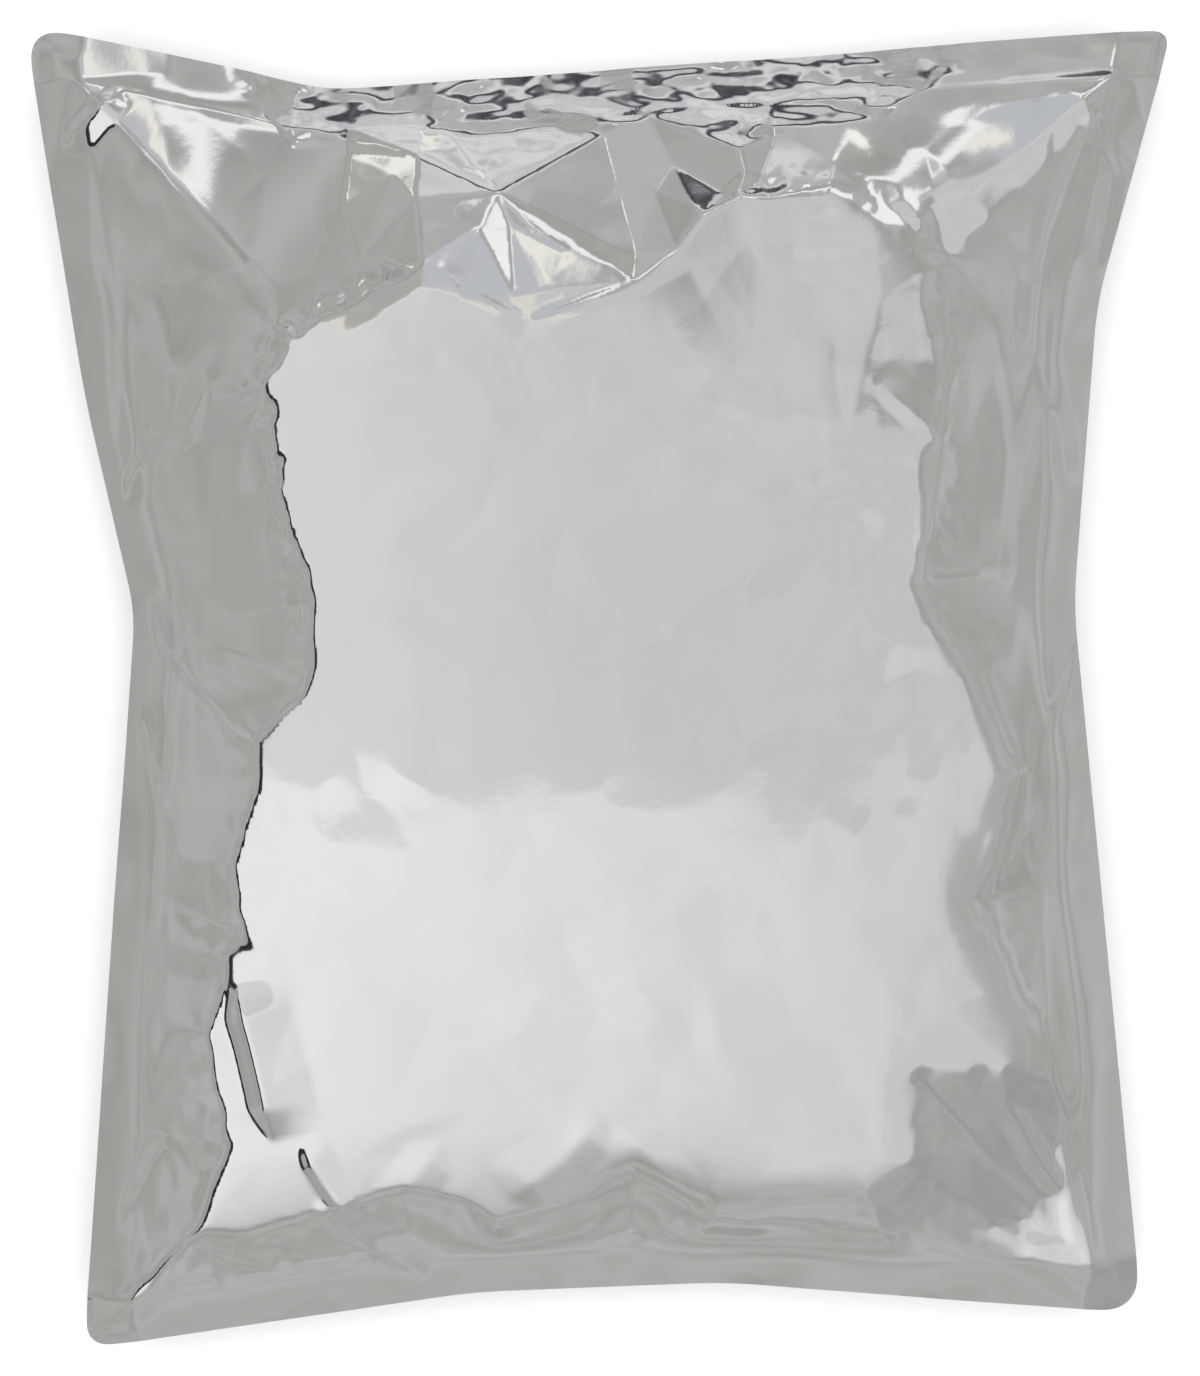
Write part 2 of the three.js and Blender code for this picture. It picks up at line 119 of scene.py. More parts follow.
RIDGE_TEETH = [  # x and how far the ridge's teeth stray from its path there
    (-44, 0.9), (-32, 0.7), (-24, 0.08), (12, 0.08), (20, 0.5), (40, 0.35),
]
TEETH_SHARE = [(0, 0.25), (15, 1.0)]  # y and the share of the teeth that is there
TEETH_REACH = (1, 5)  # mm from the ridge where the teeth start to die out, and where they have gone
FLANK_SHAPE = [  # x and the power that shapes the flank; under 1 it is steeper at its foot
    (-62, 0.78), (-40, 1.0), (28, 1.0), (52, 0.82), (64, 0.66),
]
LEAST_FLANK = 0.5  # a flank's rise is worked out over at least this width
TAUT_START = (0, 20)  # mm inside the seal over which the film's slow wave dies out
TAUT_BELOW = (30, 48)  # y up to which it does so in full, and where it no longer does
BEND = 0.3  # no crease is sharper than this
BEND_SAMPLES = 6  # heights taken round a point for that

# Sizes of the flap ---------------------------------------------------------------------------------------

# The film at the top is pressed into flat facets: x, y and height above the seal of each corner. A corner
# with no height lies on the film below.
FLAP_CORNERS = {
    "west low": (-34, 61, None), "west middle": (-36.5, 69, None), "west high": (-36, 77, None),
    "fan left": (-25, 60, None), "fan foot": (-10, 51.8, None), "flap foot": (5, 57.8, None),
    "right brow": (10.8, 62.3, None), "right step": (14.8, 67.5, None), "right end": (19.3, 69.6, None),
    "right side": (23, 73, None), "right edge": (24.8, 78.5, None),
    "flap left": (-14.5, 70.4, 13.5), "flap top": (0.5, 79.7, 2.4), "valley": (5.2, 61, 14.6),
    "gleam corner": (-29, 73.2, 9.5), "edge low": (-26, 69.5, 14.35), "edge high": (-25.6, 75.8, 9.6),
    "knot": (6.3, 74, 6.2), "below knot": (8, 70.5, 8.6), "wedge foot": (13.6, 68.6, 11.9),
    "wedge top": (10.5, 75, 5.5), "second top": (7, 82, 0.7), "second right": (20, 77, 7.3),
    "second side": (20.8, 73.5, 9.4), "second foot": (17.5, 70.5, 10.0),
    "shelf left": (-21, 79.3, 1.6), "shelf right": (-10, 80, 1.2),
    "white left": (-22, 69.2, 14.45), "white low": (-19.5, 66, 15.75),
    "blade head": (-17, 65, 16.2), "blade tip": (-12, 55.5, 18.6), "blade side": (-12.8, 66, 14.77),
    "gleam head": (-9, 64.6, 15.38), "gleam low": (-3.5, 60.9, 16.24), "fan fold": (-8.5, 56, 18.4),
    "seal 0": (-36, 80.6, None), "seal 1": (-26, 80.9, None), "seal 2": (-14, 81.8, None),
    "seal 3": (0.3, 82.8, None), "seal 4": (7, 83.2, None), "seal 5": (14, 83.7, None),
    "seal 6": (25, 83.8, None),
}
FLAP_FACETS = """
west low, fan left, edge low; west low, edge low, gleam corner; west low, gleam corner, west middle
west middle, gleam corner, west high; west high, gleam corner, edge high; gleam corner, edge low, edge high
west high, edge high, seal 0; seal 0, edge high, seal 1; edge low, fan left, white low
fan left, blade head, white low; edge low, white low, white left; white left, white low, flap left
edge low, white left, flap left; white low, blade head, flap left; fan left, blade tip, blade head
fan left, fan foot, blade tip; blade head, blade tip, blade side; blade head, blade side, flap left
edge low, flap left, edge high; blade tip, fan foot, fan fold; blade side, blade tip, fan fold
blade side, fan fold, gleam low; blade side, gleam low, gleam head; blade side, gleam head, flap left
gleam head, flap foot, flap left; gleam low, flap foot, gleam head; fan fold, flap foot, gleam low
fan fold, fan foot, flap foot; flap foot, valley, flap left; flap left, valley, flap top
flap foot, right brow, valley; valley, knot, flap top; valley, below knot, knot
valley, right brow, below knot; right brow, wedge foot, below knot; right brow, right step, wedge foot
knot, wedge top, second top; knot, second top, flap top; below knot, wedge top, knot
below knot, wedge foot, wedge top; wedge foot, second foot, wedge top; wedge foot, right step, second foot
right step, right end, second foot; right end, second side, second foot; wedge top, second foot, second side
wedge top, second side, second right; wedge top, second right, second top; edge high, flap left, shelf left
right end, right side, second side; second side, right side, second right
second right, right side, right edge; second right, right edge, seal 6; flap left, shelf right, shelf left
flap left, flap top, shelf right; edge high, shelf left, seal 1; shelf left, seal 2, seal 1
shelf left, shelf right, seal 2
shelf right, seal 3, seal 2; shelf right, flap top, seal 3; flap top, second top, seal 3
second top, seal 4, seal 3; second top, seal 5, seal 4; second top, second right, seal 5
second right, seal 6, seal 5
"""

# Sizes of the creases ------------------------------------------------------------------------------------

FOLDS = {  # single creases: rise in mm, reach to the left and to the right of the path in mm, and the path
    "fringe left of the fan": (0.28, 4.0, 12.0, [(-37, 48.5), (-25, 56.5), (-19, 54.5), (-9, 48)]),
    "fringe right of the fan": (0.28, 4.0, 12.0, [(-12, 47.5), (-3, 52.3), (5, 55), (13, 59)]),
    "upper left corner ridge": (0.6, 11.0, 11.0, [(-76, 87), (-63, 73), (-50, 60)]),
    "upper right corner ridge": (0.8, 13.0, 13.0, [(50, 62), (63, 74), (77, 88)]),
    "upper left seal": (0.2, 1.4, 1.8, [(-68, 28), (-69, 35), (-69.5, 45), (-70, 55), (-72, 63), (-73, 71)]),
    "left streak, top": (0.5, 1.2, 3.0, [(-68.5, 27), (-66, 33), (-64, 38)]),
    "left streak, high": (0.35, 3.0, 1.4, [(-60, 33), (-57, 41), (-54, 49)]),
    "left streak, middle": (0.6, 1.2, 4.0, [(-50, -9), (-55, -2), (-62, 5), (-65, 13)]),
    "left streak, low": (0.5, 1.5, 3.5, [(-60, -26), (-63, -14), (-66, -2)]),
    "left sliver": (1.2, 2.2, 7.5, [(-46.6, -64.5), (-48, -57), (-49.6, -50), (-51.8, -42)]),
    "lower left arch": (0.5, 4.5, 1.8, [(-57, -70), (-62, -65.5), (-65, -69), (-69, -79)]),
    "lower left hip": (0.6, 2.5, 3.5, [(-71, -92.5), (-64, -85), (-57, -77)]),
    "bottom crease, left": (0.6, 1.5, 4.0, [(-35, -76), (-39, -71), (-42.5, -65)]),
    "bottom crease, slant": (0.6, 1.5, 4.5, [(-25, -85), (-33, -80), (-41, -74)]),
    "bottom crease, low": (0.4, 1.5, 3.0, [(-42, -84.5), (-50, -82), (-60, -78.5)]),
    "bottom peak": (0.35, 4.0, 6.0, [(1, -60.5), (-5, -67), (-13, -73)]),
    "bottom peak, right": (0.3, 5.0, 4.0, [(15, -76), (9, -69), (3, -62)]),
    "bottom peak, far left": (0.3, 4.0, 4.0, [(-22, -64), (-27, -71), (-33, -78)]),
    "lower right hip": (0.3, 3.5, 2.5, [(76, -91), (60, -79.5), (47, -69)]),
    "lower right sliver": (0.8, 3.0, 1.3, [(67, -73), (62, -65), (59, -59)]),
    "lower right crease": (0.4, 2.0, 3.0, [(71, -84), (68, -75), (67, -62)]),
    "right waist": (0.6, 4.0, 1.5, [(55.5, -30), (60, -19), (64, -5), (69, 8)]),
    "right streak": (0.35, 1.5, 3.0, [(67, 28), (66, 38), (63, 47)]),
    "right dart": (0.35, 1.5, 4.0, [(49, 34.5), (43, 40), (39, 43)]),
    "upper right seal": (0.5, 2.0, 1.5, [(72, 60), (74, 74), (70, 85)]),
    "upper left dimple": (0.9, 3.0, 2.0, [(-69, 86), (-73, 82), (-77, 78)]),
}
FOLD_TAPER = 6  # a fold is full where this times the shares of its path behind and ahead reaches 1
FOLD_END = 0.02  # the share of a fold that is left at its very ends

CRUMPLED_ABOVE = [  # x and y of the lower border of the crumpled film
    (-50, 85), (-44, 77.5), (-36, 78), (-25.5, 77), (-21, 74), (-16, 71.5), (0.5, 80), (8, 82), (20, 77),
    (28, 80), (40, 81.5), (50, 88),
]
CRUMPLE_START = (0, 1.5)  # mm above that border over which the crumples grow
CRUMPLE_LEFT = (-54, -48)  # x where they start on the left, and from where they are full
CRUMPLE_RIGHT = (48, 56)  # x up to which they are full on the right, and where they end
CRUMPLE_SAG = 0.22  # how much steeper the crumpled film lies, mm for each mm
CRUMPLE_SAG_WIDTH = 6  # mm above the border up to which it lies steeper
CRUMPLE_GAP = 0.6  # how far the back film stays below crumpled front film
GAP_START = (0, 0.8)  # mm inside the pouch's edge over which that gap opens

LOOSE_ACROSS = (12, 32)  # x where the film over the filling starts to get looser, and where it is loosest
LOOSE_UP = (-45, -10)  # y where it starts, and where it is loosest
STREAKS_START = (0, 2)  # mm inside the seal over which the flank's long creases grow
STREAKS_FADE = (5, 13)  # mm inside the seal over which they die out
STREAKS_LOST = 0.8  # the share of them that goes there
STREAKS_CORNER = (50, 68)  # y over which they die out towards the upper corners
STREAKS_CORNER_LOST = 0.85  # the share of them that goes there
RAGGED_REACH = (0, 5)  # mm outside the ridge over which its ragged edge dies out

BACK_SLOPE = 1.1  # how far the back film falls inside the seal, mm for each mm
BACK_CREASES = (0, 8)  # mm inside the seal over which its creases grow


# The outline ---------------------------------------------------------------------------------------------

def rounded_corner(name):
    """The curve that rounds off one corner of the outline."""
    names = list(OUTLINE)
    place = names.index(name)
    neighbours = (name, names[place - 1], names[(place + 1) % len(names)])
    here, before, after = (np.array(OUTLINE[corner][:2], float) for corner in neighbours)
    rounding = OUTLINE[name][2]
    start = here + (before - here) / np.linalg.norm(before - here) * rounding
    end = here + (after - here) / np.linalg.norm(after - here) * rounding
    share = np.linspace(0, 1, CORNER_STEPS + 1)[:, None]
    return (1 - share) ** 2 * start + 2 * share * (1 - share) * here + share ** 2 * end


def side_path(first, last):
    """The edge of the pouch from the middle of one corner's rounding to the middle of another's."""
    names = list(OUTLINE)
    middle = CORNER_STEPS // 2
    start, end = names.index(first), names.index(last)
    between = range(start + 1, end if end > start else end + len(names))
    points = [rounded_corner(first)[middle:]]
    points += [rounded_corner(names[place % len(names)]) for place in between]
    points.append(rounded_corner(last)[:middle + 1])
    return np.concatenate(points)


PATHS = {side: side_path(*ends) for side, ends in SIDES.items()}


def point_on(path, share):
    """The places at some shares of a path's length."""
    steps = np.concatenate([[0], np.cumsum(np.hypot(*np.diff(path, axis=0).T))])
    return np.stack([np.interp(share * steps[-1], steps, path[:, axis]) for axis in (0, 1)], -1)


def plan(across, up):
    """Where a share across and a share up the pouch lies: a patch stretched between the four sides."""
    bottom, top = point_on(PATHS["bottom"], across), point_on(PATHS["top"], 1 - across)
    right, left = point_on(PATHS["right"], up), point_on(PATHS["left"], 1 - up)
    lower_left, lower_right = point_on(PATHS["bottom"], 0), point_on(PATHS["bottom"], 1)
    upper_right, upper_left = point_on(PATHS["top"], 0), point_on(PATHS["top"], 1)
    across, up = across[..., None], up[..., None]
    ruled = (1 - up) * bottom + up * top + (1 - across) * left + across * right
    return ruled - ((1 - across) * (1 - up) * lower_left + across * (1 - up) * lower_right
                    + (1 - across) * up * upper_left + across * up * upper_right)


# Measures over the plan ----------------------------------------------------------------------------------

FAR_AWAY = 1e9
NO_LENGTH = 1e-9  # keeps a piece of path with no length from being divided by 0


def distance_to_path(x, y, path, closed=False):
    ends = np.roll(path, -1, axis=0) if closed else path[1:]
    nearest = np.full(x.shape, FAR_AWAY)
    for (ax, ay), (bx, by) in zip(path, ends):
        ex, ey = bx - ax, by - ay
        squared = max(ex * ex + ey * ey, NO_LENGTH)
        share = np.clip(((x - ax) * ex + (y - ay) * ey) / squared, 0, 1)
        nearest = np.minimum(nearest, np.hypot(x - ax - share * ex, y - ay - share * ey))
    return nearest


def inside(x, y, path):
    crossings = np.zeros(x.shape, bool)
    for (ax, ay), (bx, by) in zip(path, np.roll(path, -1, axis=0)):
        if ay != by:
            crossings ^= ((ay > y) != (by > y)) & (x < (bx - ax) * (y - ay) / (by - ay) + ax)
    return crossings


def seal_distance(x, y):
    """How far each point lies from the edge of the pouch, and from each of its sides."""
    near = {side: distance_to_path(x, y, path) for side, path in PATHS.items()}
    return np.minimum.reduce(list(near.values())), near


def smooth_step(low, high, value):
    """0 below low, 1 above high, and smooth between."""
    share = np.clip((value - low) / (high - low), 0, 1)
    return share * share * (3 - 2 * share)


def read(table, place):
    """What a table of places and values says at each place, with straight lines between its rows."""
    places, values = zip(*table)
    return np.interp(place, places, values)


# Creased film --------------------------------------------------------------------------------------------

COLUMN_FACTOR = 374761393  # large odd numbers that mix a lattice point's numbers up
ROW_FACTOR = 668265263
SEED_FACTOR = 974634777
STIR_FACTOR = 1274126177
WORD = 0xFFFFFFFF  # keeps the lowest 32 bits
FACET_DRIFT = 0.45  # how far the corners of the facets stray from an even lattice
DRIFT_SCALE = 0.83  # and how fast that changes from corner to corner
DRIFT_SHIFT = 5.2  # keeps the two directions of it apart


def lattice(column, row, seed):
    """A fixed random height from -1 to 1 for each point of a lattice."""
    mixed = column.astype(np.int64) * COLUMN_FACTOR + row.astype(np.int64) * ROW_FACTOR + seed * SEED_FACTOR
    mixed = mixed & WORD
    mixed = ((mixed ^ (mixed >> 13)) * STIR_FACTOR) & WORD
    return (mixed ^ (mixed >> 16)) / 2.0 ** 31 - 1


def ease(share):
    """From 0 to 1, with no slope and no bend at either end."""
    return share * share * share * (share * (share * 6 - 15) + 10)


def ripples(x, y, seed):
    """Smooth bumps, about one to a unit."""
    column, row = np.floor(x), np.floor(y)
    sx, sy = ease(x - column), ease(y - row)
    low = lattice(column, row, seed) * (1 - sx) + lattice(column + 1, row, seed) * sx
    high = lattice(column, row + 1, seed) * (1 - sx) + lattice(column + 1, row + 1, seed) * sx
    return low * (1 - sy) + high * sy


def facets(x, y, seed):
    """Flat three-cornered facets that meet at sharp creases, about one corner to a unit."""
    x = x + FACET_DRIFT * ripples(DRIFT_SCALE * x, DRIFT_SCALE * y, seed + 11)
    y = y + FACET_DRIFT * ripples(DRIFT_SCALE * x + DRIFT_SHIFT, DRIFT_SCALE * y, seed + 12)
    u, v = x - y / math.sqrt(3), 2 * y / math.sqrt(3)
    column, row = np.floor(u), np.floor(v)
    su, sv = u - column, v - row
    here, right = lattice(column, row, seed), lattice(column + 1, row, seed)
    above, across = lattice(column, row + 1, seed), lattice(column + 1, row + 1, seed)
    lower = here + (right - here) * su + (above - here) * sv
    upper = across + (above - across) * (1 - su) + (right - across) * (1 - sv)
    return np.where(su + sv < 1, lower, upper)


RELIEF = {  # kind of crease, height in mm, size across and size along in mm, seed
    "slow wave": (ripples, 1.2, 40, 40, 3),
    "uneven droop": (ripples, 0.12, 13, 13, 4),  # a share of the droop, not mm
    "wide dimples": (ripples, 0.07, 19, 19, 21),
    "narrow dimples": (ripples, 0.02, 8, 8, 22),
    "wide centre facets": (facets, 0.035, 11, 11, 23),
    "fine centre facets": (facets, 0.012, 4, 4, 24),
    "upright dimples": (ripples, 0.14, 7, 17, 25),
    "upright facets": (facets, 0.09, 5, 11, 26),
    "long flank creases": (facets, 0.5, 8, 26, 31),
    "short flank creases": (facets, 0.14, 3.2, 12, 32),
    "seal facets": (facets, 0.12, 8, 8, 41),
    "back facets": (facets, 0.5, 12, 12, 51),
    "ragged edge": (facets, 0.45, 6, 6, 61),
    "fine ragged edge": (facets, 0.12, 2.4, 2.4, 62),
    "flap facets": (facets, 0.04, 4, 4, 71),
    "large crumples": (facets, 0.40, 8, 2.6, 81),
    "small crumples": (facets, 0.20, 3.6, 1.6, 82),
    "fine crumples": (facets, 0.05, 1.6, 0.9, 84),
    "soft crumples": (ripples, 0.15, 6, 2.6, 83),
    "ridge teeth": (facets, 1.0, 3.4, 3.4, 91),  # a share of the ridge's straying, not mm
    "fine ridge teeth": (facets, 0.4, 1.3, 1.3, 93),
}


def relief(x, y, *names):
    """Some of the small creases above, added up."""
    layers = (RELIEF[name] for name in names)
    return sum(height * kind(x / across, y / along, seed) for kind, height, across, along, seed in layers)


# Heights -------------------------------------------------------------------------------------------------

def dome(x, y):
    """The front film over the filling, above the seal."""
    away = {"left": CREST[0] - x, "right": x - CREST[0], "top": y - CREST[1], "bottom": CREST[1] - y}
    drops = [drop * (np.maximum(away[side], 0) / over) ** 2 for side, (drop, over) in DOME_DROP.items()]
    shoulder = SHOULDER_DROP * smooth_step(*SHOULDER_ACROSS, x) * smooth_step(*SHOULDER_UP, y)
    height = CROWN - shoulder - sum(drop ** DOME_ROUNDNESS for drop in drops) ** (1 / DOME_ROUNDNESS)
    return np.maximum(height, CORNER_CROWN * smooth_step(*CORNERS_FROM, y))


def seal_height(x, y, near):
    """The middle of the seal: it droops outwards on each side, waves a little and is crumpled at the top."""
    droop = dict(SEAL_DROOP, top=read(TOP_SEAL_DROOP, x))
    fall = sum(droop[side] * np.maximum(SEAL_WIDTH - near[side], 0) for side in SIDES)
    fall = fall * (1 + relief(x, y, "uneven droop"))
    return SEAL_HEIGHT + relief(x, y, "slow wave") - fall + crumple(x, y) * crumple_share(x, y)


def soft_lower(first, second, softness):
    """The lower of two heights, rounded where they meet."""
    return (first + second - np.hypot(first - second, softness)) / 2


def seal_run(edge):
    """How far a point lies inside the seal's inner edge."""
    return -soft_lower(SEAL_WIDTH - edge, 0, SEAL_SOFTNESS)


def outside_ridge(x, y):
    """How far a point lies outside the ridge with its teeth; less than 0 inside."""
    ridge = np.array(RIDGE, float)
    outward = distance_to_path(x, y, ridge, closed=True) * np.where(inside(x, y, ridge), -1, 1)
    teeth = relief(x, y, "ridge teeth", "fine ridge teeth") * read(RIDGE_TEETH, x) * read(TEETH_SHARE, y)
    return outward + teeth * (1 - smooth_step(*TEETH_REACH, np.abs(outward)))


def ridge_softness(x, y):
    """How much the film rounds the ridge off."""
    softness = read(RIDGE_SOFTNESS, x)
    softness = softness + DENT_SOFTNESS * (1 - smooth_step(*DENT_REACH, np.hypot(x - DENT[0], y - DENT[1])))
    return softness + read(FOOT_SOFTNESS, x) * (1 - smooth_step(*FOOT, y))


def body(x, y, run):
    """The filled part above the seal: a dome that breaks off to straight flanks along the ridge."""
    outward = outside_ridge(x, y)
    top = dome(x, y)
    up_flank = np.clip(run / np.maximum(run + outward, LEAST_FLANK), 0, None)
    flank = top * up_flank ** read(FLANK_SHAPE, x) + flank_creases(x, y, run, outward)
    softness = ridge_softness(x, y) * smooth_step(*SOFTNESS_START, run)
    return soft_lower(top + centre_creases(x, y), flank, softness)


def centre_creases(x, y):
    """Soft dimples over the filling, and upright creases on the right where the film is looser."""
    soft = relief(x, y, "wide dimples", "narrow dimples")
    fine = relief(x, y, "wide centre facets", "fine centre facets")
    loose = smooth_step(*LOOSE_ACROSS, x) * smooth_step(*LOOSE_UP, y)
    return soft + fine + loose * relief(x, y, "upright dimples", "upright facets")


def flank_creases(x, y, run, outward):
    """Long creases beside the seal that die out up the flank, and a ragged edge at the ridge."""
    beside_seal = smooth_step(*STREAKS_START, run) * (1 - STREAKS_LOST * smooth_step(*STREAKS_FADE, run))
    beside_seal = beside_seal * (1 - STREAKS_CORNER_LOST * smooth_step(*STREAKS_CORNER, y))
    at_ridge = 1 - smooth_step(*RAGGED_REACH, outward)
    return (relief(x, y, "long flank creases", "short flank creases") * beside_seal
            + relief(x, y, "ragged edge", "fine ragged edge") * at_ridge)


def crumple_share(x, y):
    """1 in the crumpled band under the top seal, 0 elsewhere."""
    from_border = smooth_step(*CRUMPLE_START, y - read(CRUMPLED_ABOVE, x))
    return from_border * smooth_step(*CRUMPLE_LEFT, x) * (1 - smooth_step(*CRUMPLE_RIGHT, x))


def crumple(x, y):
    """Small creases that run mostly along the seal."""
    creases = relief(x, y, "large crumples", "small crumples", "fine crumples", "soft crumples")
    return creases - CRUMPLE_SAG * np.clip(y - read(CRUMPLED_ABOVE, x), 0, CRUMPLE_SAG_WIDTH)


def fold(x, y, rise, left, right, path):
    """A crease with a straight slope to either side, lower at both ends, with its steeper side narrower."""
    path = np.array(path, float)
    nearest, place, side = np.full(x.shape, FAR_AWAY), np.zeros(x.shape), np.zeros(x.shape)
    done = 0
    for (ax, ay), (bx, by) in zip(path, path[1:]):
        length = math.hypot(bx - ax, by - ay)
        ex, ey = (bx - ax) / length, (by - ay) / length
        forward = np.clip((x - ax) * ex + (y - ay) * ey, 0, length)
        away = np.hypot(x - ax - forward * ex, y - ay - forward * ey)
        closer = away < nearest
        nearest = np.where(closer, away, nearest)
        place = np.where(closer, done + forward, place)
        side = np.where(closer, (y - ay) * ex - (x - ax) * ey, side)
        done += length
    share = place / done
    fade = np.clip(FOLD_TAPER * share * (1 - share), FOLD_END, 1)
    reach = np.where(side > 0, left, right)
    reach = np.where(reach == min(left, right), reach * fade, reach)
    return rise * fade * np.clip(1 - nearest / reach, 0, 1)


def folds(x, y):
    """The single creases that stand out, all added up."""
    height = np.zeros(x.shape)
    for rise, left, right, path in FOLDS.values():
        reach = max(left, right)
        low_x, low_y = np.min(path, axis=0) - reach
        high_x, high_y = np.max(path, axis=0) + reach
        near = (x > low_x) & (x < high_x) & (y > low_y) & (y < high_y)
        height[near] += fold(x[near], y[near], rise, left, right, path)
    return height


def flap_faces():
    """The names of the three corners of each facet of the flap."""
    return [face.split(", ") for line in FLAP_FACETS.strip().splitlines() for face in line.split("; ")]


def flap_corners():
    """The x, y and height above the seal of each corner of the flap."""
    x, y = np.array([corner[:2] for corner in FLAP_CORNERS.values()], float).T
    lying = body(x, y, seal_run(seal_distance(x, y)[0]))
    return {name: (*corner[:2], under if corner[2] is None else corner[2])
            for (name, corner), under in zip(FLAP_CORNERS.items(), lying)}


def flap(x, y, film):
    """Lay the flat facets of the flap over the film."""
    corners = flap_corners()
    height, found = np.zeros(x.shape), np.zeros(x.shape, bool)
    for face in flap_faces():
        (ax, ay, az), (bx, by, bz), (cx, cy, cz) = (corners[name] for name in face)
        area = (bx - ax) * (cy - ay) - (cx - ax) * (by - ay)
        to_b = ((x - ax) * (cy - ay) - (cx - ax) * (y - ay)) / area
        to_c = ((bx - ax) * (y - ay) - (x - ax) * (by - ay)) / area
        hit = (to_b >= 0) & (to_c >= 0) & (to_b + to_c <= 1)
        height = np.where(hit, az + (bz - az) * to_b + (cz - az) * to_c, height)
        found |= hit
    return np.where(found, height + relief(x, y, "flap facets"), film)


def sharp_height(x, y):
    """The top face of the front film, with its creases sharp."""
    edge, near = seal_distance(x, y)
    run = seal_run(edge)
    taut = smooth_step(*TAUT_START, run) * (1 - smooth_step(*TAUT_BELOW, y))
    film = flap(x, y, body(x, y, run)) + folds(x, y) - relief(x, y, "slow wave") * taut
    return seal_height(x, y, near) + film + FILM_THICKNESS / 2 + relief(x, y, "seal facets")


def front_height(x, y):
    """The mean of the heights round a point, which rounds each crease a little."""
    edge, _ = seal_distance(x, y)
    reach = np.minimum(BEND, edge)
    turns = [math.radians(360 / BEND_SAMPLES * step) for step in range(BEND_SAMPLES)]
    heights = (sharp_height(x + reach * math.cos(turn), y + reach * math.sin(turn)) for turn in turns)
    return sum(heights) / BEND_SAMPLES


def back_height(x, y):
    """The outer face of the back film: a shallow tray that lies on the floor."""
    edge, near = seal_distance(x, y)
    run = np.maximum(edge - SEAL_WIDTH, 0)
    bulge = BACK_SLOPE * run + relief(x, y, "back facets") * smooth_step(*BACK_CREASES, run)
    apart = FILM_THICKNESS / 2 + CRUMPLE_GAP * crumple_share(x, y) * smooth_step(*GAP_START, edge)
    return np.maximum(seal_height(x, y, near) + relief(x, y, "seal facets") - apart - bulge, 0)


# Mesh ----------------------------------------------------------------------------------------------------

COLUMNS, ROWS = 264, 282  # cells of the front film
BACK_SHARE = 3  # front cells to a cell of the back film, each way
TOP_CROWDING = 0.25  # rows lie closer together near the top seal, where the folds are
END_CROWDING = 0.2  # and a little closer at both ends than in the middle
FINE_LOW, FINE_HIGH = (-52, 48), (48, 93)  # x and y of the area whose cells have a point in the middle too
CREASE_STEP = 0.4  # between points along a crease of the flap
CREASE_CLEAR = 0.26  # other points keep this far from it
WITHIN_BORDER = 1  # asks for the triangles inside the border only
SAME_POINT = 1e-4  # points closer than this are joined
UPPER_RIM, LOWER_RIM = 1, 2


def film_grid():
    """The x and y of the corners of the front film's cells."""
    across, up = np.meshgrid(np.linspace(0, 1, COLUMNS + 1), np.linspace(0, 1, ROWS + 1))
    up = (up + TOP_CROWDING * np.sin(math.pi * up) / math.pi
          - END_CROWDING * np.sin(2 * math.pi * up) / (2 * math.pi))
    return plan(across, up)


def numbered(grid, first=0):
    """A number for each point of a grid, from the first one on."""
    return first + np.arange(grid.shape[0] * grid.shape[1]).reshape(grid.shape[:2])


def rim(numbers):
    """The border of a grid of point numbers, anticlockwise from the lower left."""
    return np.concatenate([numbers[0, :-1], numbers[:-1, -1], numbers[-1, :0:-1], numbers[:0:-1, 0]])


def cells(grid):
    """What lies at the four corners of each cell of a grid."""
    return grid[:-1, :-1], grid[:-1, 1:], grid[1:, 1:], grid[1:, :-1]


def flap_lines():
    """Each crease between the flap's facets once, as two points."""
    pairs = {tuple(sorted(pair)) for face in flap_faces() for pair in zip(face, face[1:] + face[:1])}
    return [np.array([FLAP_CORNERS[end][:2] for end in pair], float) for pair in sorted(pairs)]


def points_along(line):
    start, end = line
    steps = int(np.hypot(*(end - start)) / CREASE_STEP) + 1
    return start + np.linspace(0, 1, steps + 1)[:, None] * (end - start)


def loose_points(grid, border, lines):
    """The grid's points within its border and the middles of its fine cells, clear of the flap's creases."""
    middles = (sum(cells(grid)) / 4).reshape(-1, 2)
    fine = (middles > FINE_LOW).all(axis=1) & (middles < FINE_HIGH).all(axis=1)
    loose = np.concatenate([np.delete(grid.reshape(-1, 2), border, axis=0), middles[fine]])
    clear = np.minimum.reduce([distance_to_path(*loose.T, line) for line in lines]) > CREASE_CLEAR
    return loose[clear]


def front_plan():
    """The front film's points and triangles seen from above, and the numbers of the points on its border."""
    grid = film_grid()
    border = rim(numbered(grid))
    lines = flap_lines()
    rows = [points_along(line) for line in lines]
    edges = [(here, (here + 1) % len(border)) for here in range(len(border))]
    count = len(border)
    for row in rows:
        edges += [(count + step, count + step + 1) for step in range(len(row) - 1)]
        count += len(row)
    places = np.concatenate([grid.reshape(-1, 2)[border], *rows, loose_points(grid, border, lines)])
    points = [Vector(point) for point in places.tolist()]
    found, _, faces, sources, _, _ = delaunay_2d_cdt(points, edges, [], WITHIN_BORDER, SAME_POINT)
    number = {source: place for place, joined in enumerate(sources) for source in joined}
    upper = np.array([number[here] for here in range(len(border))])
    return np.array([tuple(point) for point in found]), faces, upper


